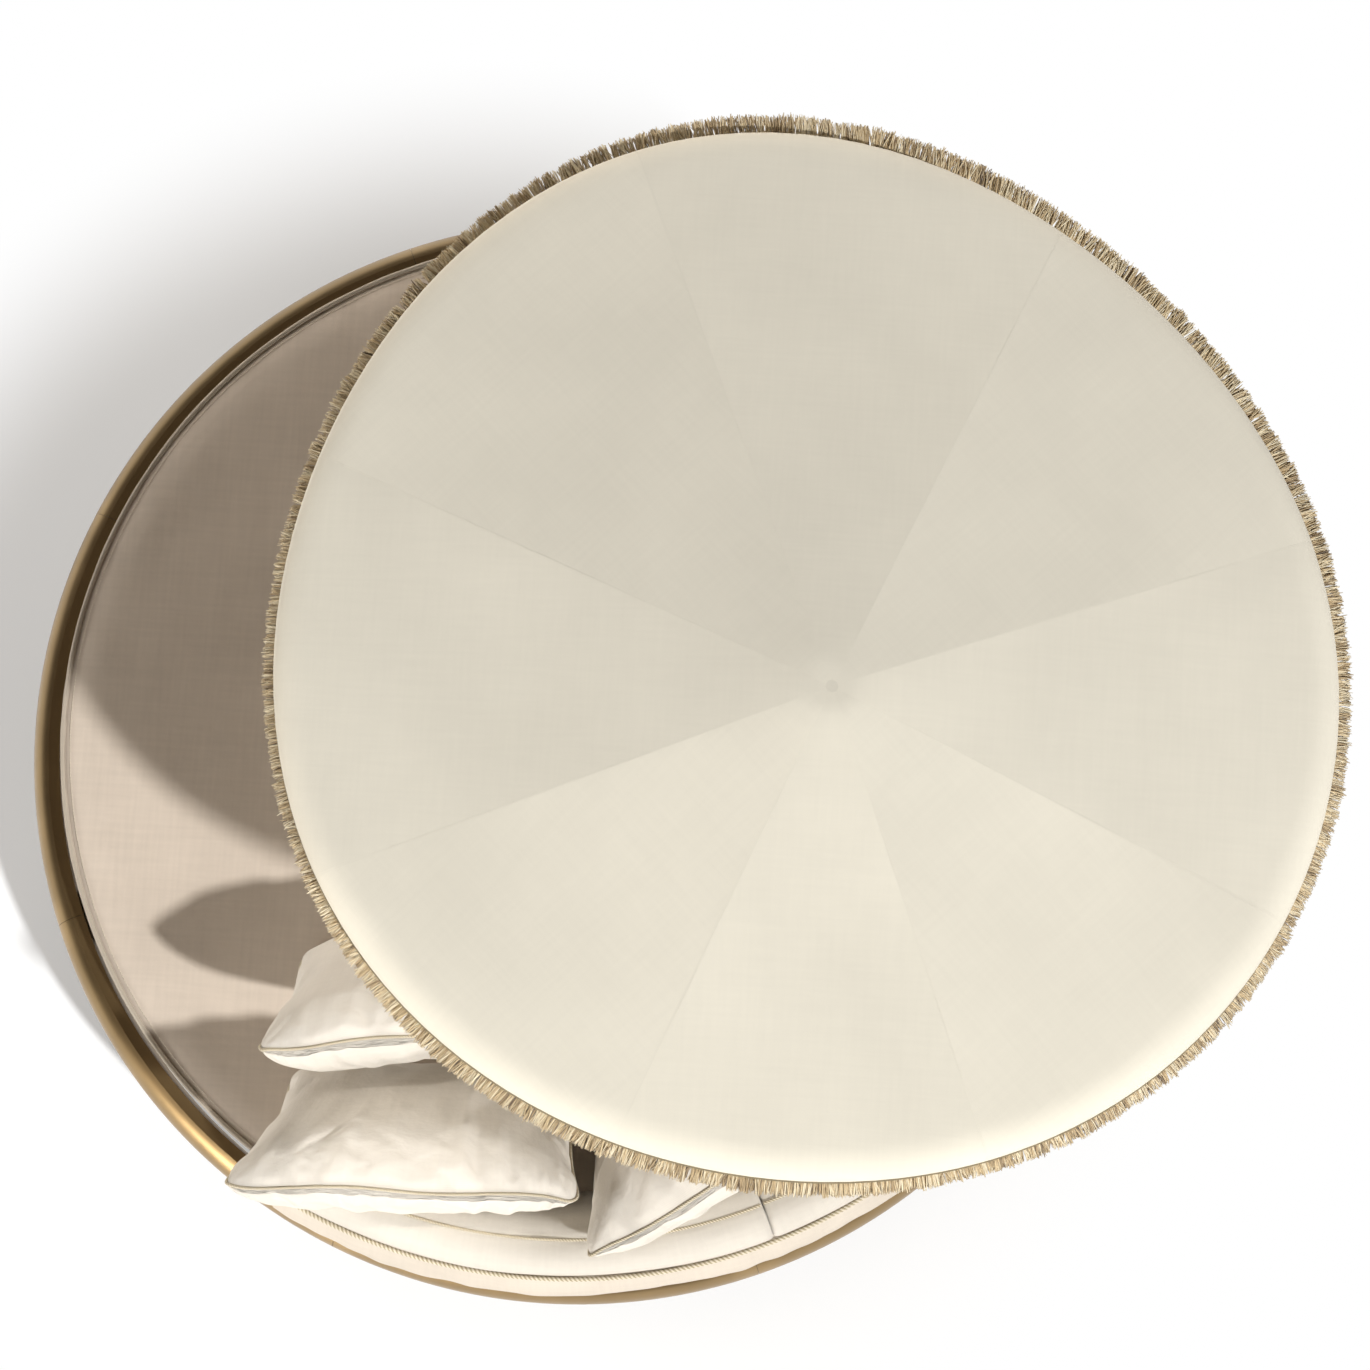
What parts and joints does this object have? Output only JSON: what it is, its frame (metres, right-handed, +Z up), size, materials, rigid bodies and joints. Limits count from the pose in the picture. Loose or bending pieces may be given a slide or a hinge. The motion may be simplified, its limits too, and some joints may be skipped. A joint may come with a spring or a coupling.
{
  "type": "outdoor daybed",
  "caption": "Round outdoor daybed: bronze ring base, crowned mattress, curved backrest with pillows, and a fringed canopy that tilts on one bent mast.",
  "frame": {"origin": "on the floor, at the underside of the centre foot, under the centre of the ring", "axes": "+Z up, +X towards the head of the bed and the mast, +Y to the left of someone facing +X"},
  "size_m": [2.4553, 2.2, 1.7],
  "materials": {
    "bronze": "satin bronze powder coat on steel and aluminium",
    "frame_steel": "matt dark powder coat",
    "bolt_steel": "stainless",
    "glide": "moulded nylon",
    "deck": "compact outdoor board",
    "mattress_linen": "beige woven linen",
    "rope_trim": "twisted two-tone rope",
    "back_linen": "off-white woven linen",
    "white_linen": "white washed linen",
    "board": "bent plywood",
    "canopy_cloth": "cream outdoor canvas",
    "canopy_frame": "bronze anodised",
    "fringe": "natural straw fringe"
  },
  "bodies": {
    "base": {"back_cushion_1": "white_linen", "back_cushion_2": "white_linen", "back_cushion_3": "white_linen", "back_cushion_4": "white_linen", "backrest_board": "board", "backrest_brackets": "frame_steel", "backrest_cover": "back_linen", "backrest_piping": "rope_trim", "centre_foot": "frame_steel", "centre_hub": "frame_steel", "deck_panel_1": "deck", "deck_panel_2": "deck", "deck_panel_3": "deck", "deck_panel_4": "deck", "deck_screws": "bolt_steel", "frame_bolts": "bolt_steel", "leg_glides": "glide", "mast_bolts": "bolt_steel", "mast_bracket": "bronze", "mast_tube": "bronze", "mattress": "mattress_linen", "mattress_piping": "rope_trim", "pillow_1": "white_linen", "pillow_2": "white_linen", "pillow_3": "white_linen", "pillow_4": "white_linen", "radial_frame_1": "frame_steel", "radial_frame_2": "frame_steel", "radial_frame_3": "frame_steel", "radial_frame_4": "frame_steel", "radial_frame_5": "frame_steel", "radial_frame_6": "frame_steel", "radial_frame_7": "frame_steel", "radial_frame_8": "frame_steel", "ring_joiners": "frame_steel", "ring_segment_1": "bronze", "ring_segment_2": "bronze", "ring_segment_3": "bronze", "ring_segment_4": "bronze", "ring_segment_5": "bronze", "ring_segment_6": "bronze", "ring_segment_7": "bronze", "ring_segment_8": "bronze", "tilt_head": "bronze", "tilt_pin": "bolt_steel"},
    "canopy": {"canopy_cover": "canopy_cloth", "canopy_fringe": "fringe", "canopy_hoop": "canopy_frame", "canopy_hub": "canopy_frame", "canopy_rib_1": "canopy_frame", "canopy_rib_2": "canopy_frame", "canopy_rib_3": "canopy_frame", "canopy_rib_4": "canopy_frame", "canopy_rib_5": "canopy_frame", "canopy_rib_6": "canopy_frame", "canopy_rib_7": "canopy_frame", "canopy_rib_8": "canopy_frame", "hub_screws": "bolt_steel", "hub_top_plate": "canopy_frame"},
    "lever": {"clamp_lever": "bronze"}
  },
  "joints": [
    {"name": "canopy_tilt", "type": "hinge", "parent": "base", "child": "canopy", "pos_m": [0.465, -0.07, 1.599], "axis": [0.1489, 0.9889, 0], "range_deg": [-25, 5]},
    {"name": "clamp_lever_turn", "type": "hinge", "parent": "base", "child": "lever", "pos_m": [0.465, -0.07, 1.599], "axis": [0.1489, 0.9889, 0], "range_deg": [0, 90]}
  ]
}
